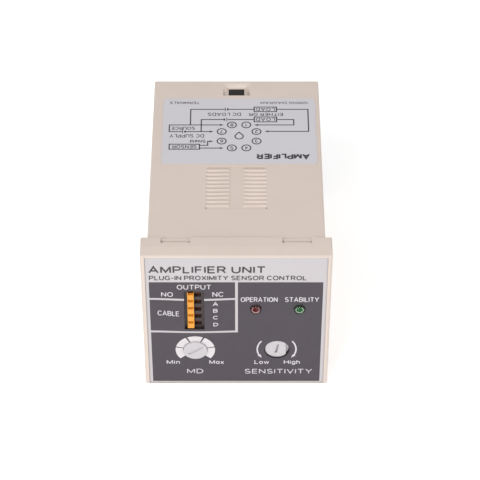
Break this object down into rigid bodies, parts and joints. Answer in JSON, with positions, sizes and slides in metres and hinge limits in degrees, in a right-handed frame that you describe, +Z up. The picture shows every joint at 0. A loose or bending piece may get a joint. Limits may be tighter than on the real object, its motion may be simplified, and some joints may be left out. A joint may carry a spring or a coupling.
{
  "type": "proximity sensor amplifier",
  "caption": "Plug-in proximity sensor amplifier in a square ivory case, with a grey front panel, slide switches, indicator lamps, two adjusters and an octal plug at the rear.",
  "frame": {"origin": "centre of the panel cut-out, in the plane where the bezel's rear face meets the panel", "axes": "+X to the right and +Z up as seen from the front, +Y from the front towards the plug at the rear"},
  "size_m": [0.048, 0.085, 0.048],
  "materials": {
    "ivory_plastic": "fine moulded matt",
    "nameplate_film": "satin film, dark grey panels on light grey",
    "wiring_film": "satin silver-grey label",
    "black_phenolic": "moulded, slightly glossy",
    "plated_pin": "nickel plated",
    "circuit_board": "solder mask",
    "zinc_steel": "zinc plated",
    "tinned_brass": "tinned",
    "switch_black": "matt",
    "switch_brown": "moulded phenolic",
    "slider_orange": "satin",
    "lamp_red": "clear red epoxy",
    "lamp_green": "clear green epoxy",
    "adjuster_white": "satin",
    "pot_grey": "matt",
    "carbon_track": "matt",
    "screw_brass": "turned",
    "seal_rubber": "matt",
    "nylon": "matt",
    "trimmer_blue": "satin",
    "ceramic": "matt",
    "hybrid_brown": "dipped",
    "chip_black": "matt",
    "film_red": "dipped",
    "sleeve_blue": "sleeve",
    "resistor_tan": "lacquered"
  },
  "bodies": {
    "unit": {"front_bezel": "ivory_plastic", "nameplate": "nameplate_film", "rear_case": "ivory_plastic", "wiring_label": "wiring_film", "plug_base": "black_phenolic", "contact_pin_1": "plated_pin", "contact_pin_2": "plated_pin", "contact_pin_3": "plated_pin", "contact_pin_4": "plated_pin", "contact_pin_5": "plated_pin", "contact_pin_6": "plated_pin", "contact_pin_7": "plated_pin", "contact_pin_8": "plated_pin", "front_board": "circuit_board", "main_board": "circuit_board", "power_board": "circuit_board", "base_board": "circuit_board", "board_screws": "zinc_steel", "front_links": "tinned_brass", "rear_links": "tinned_brass", "switch_body": "switch_black", "switch_base": "switch_brown", "switch_terminals": "tinned_brass", "lamp_operation": "lamp_red", "lamp_stability": "lamp_green", "lamp_leads": "tinned_brass", "md_pot_cover": "pot_grey", "md_pot_base": "pot_grey", "md_element": "carbon_track", "md_terminals": "tinned_brass", "sensitivity_ring": "seal_rubber", "sensitivity_seal": "seal_rubber", "sensitivity_trimmer_body": "trimmer_blue", "sensitivity_trimmer_cap": "trimmer_blue", "sensitivity_element": "ceramic", "oscillator_hybrid": "hybrid_brown", "comparator_ic": "chip_black", "logic_ic": "chip_black", "film_capacitors": "film_red", "electrolytic_capacitors": "sleeve_blue", "voltage_regulator": "chip_black", "output_transistors": "chip_black", "surge_absorber": "sleeve_blue", "resistors": "resistor_tan"},
    "slide_output": {"slider_output": "slider_orange", "slider_contact_output": "tinned_brass"},
    "slide_a": {"slider_a": "slider_orange", "slider_contact_a": "tinned_brass"},
    "slide_b": {"slider_b": "slider_orange", "slider_contact_b": "tinned_brass"},
    "slide_c": {"slider_c": "slider_orange", "slider_contact_c": "tinned_brass"},
    "slide_d": {"slider_d": "slider_orange", "slider_contact_d": "tinned_brass"},
    "md_adjuster": {"md_knob": "adjuster_white", "md_wiper": "tinned_brass"},
    "sensitivity_adjuster": {"sensitivity_knob": "adjuster_white", "sensitivity_screw": "screw_brass"},
    "sensitivity_wiper": {"sensitivity_carriage": "nylon"}
  },
  "joints": [
    {"name": "output_slide", "type": "slide", "parent": "unit", "child": "slide_output", "axis": [1, 0, 0], "range_m": [0, 0.0017]},
    {"name": "a_slide", "type": "slide", "parent": "unit", "child": "slide_a", "axis": [1, 0, 0], "range_m": [0, 0.0017]},
    {"name": "b_slide", "type": "slide", "parent": "unit", "child": "slide_b", "axis": [1, 0, 0], "range_m": [0, 0.0017]},
    {"name": "c_slide", "type": "slide", "parent": "unit", "child": "slide_c", "axis": [1, 0, 0], "range_m": [0, 0.0017]},
    {"name": "d_slide", "type": "slide", "parent": "unit", "child": "slide_d", "axis": [1, 0, 0], "range_m": [0, 0.0017]},
    {"name": "md_turn", "type": "hinge", "parent": "unit", "child": "md_adjuster", "pos_m": [-0.01067, 0, -0.0105], "axis": [0, 1, 0], "range_deg": [-183, 77]},
    {"name": "sensitivity_turn", "type": "hinge", "parent": "unit", "child": "sensitivity_adjuster", "pos_m": [0.01055, 0, -0.0105], "axis": [0, 1, 0], "range_deg": [-2700, 2700]},
    {"name": "wiper_travel", "type": "slide", "parent": "unit", "child": "sensitivity_wiper", "axis": [0, 1, 0], "range_m": [-0.00599, 0.00599]}
  ],
  "couplings": [
    {"joint": "sensitivity_turn", "follows": "wiper_travel", "rad_per_m": -7854}
  ]
}
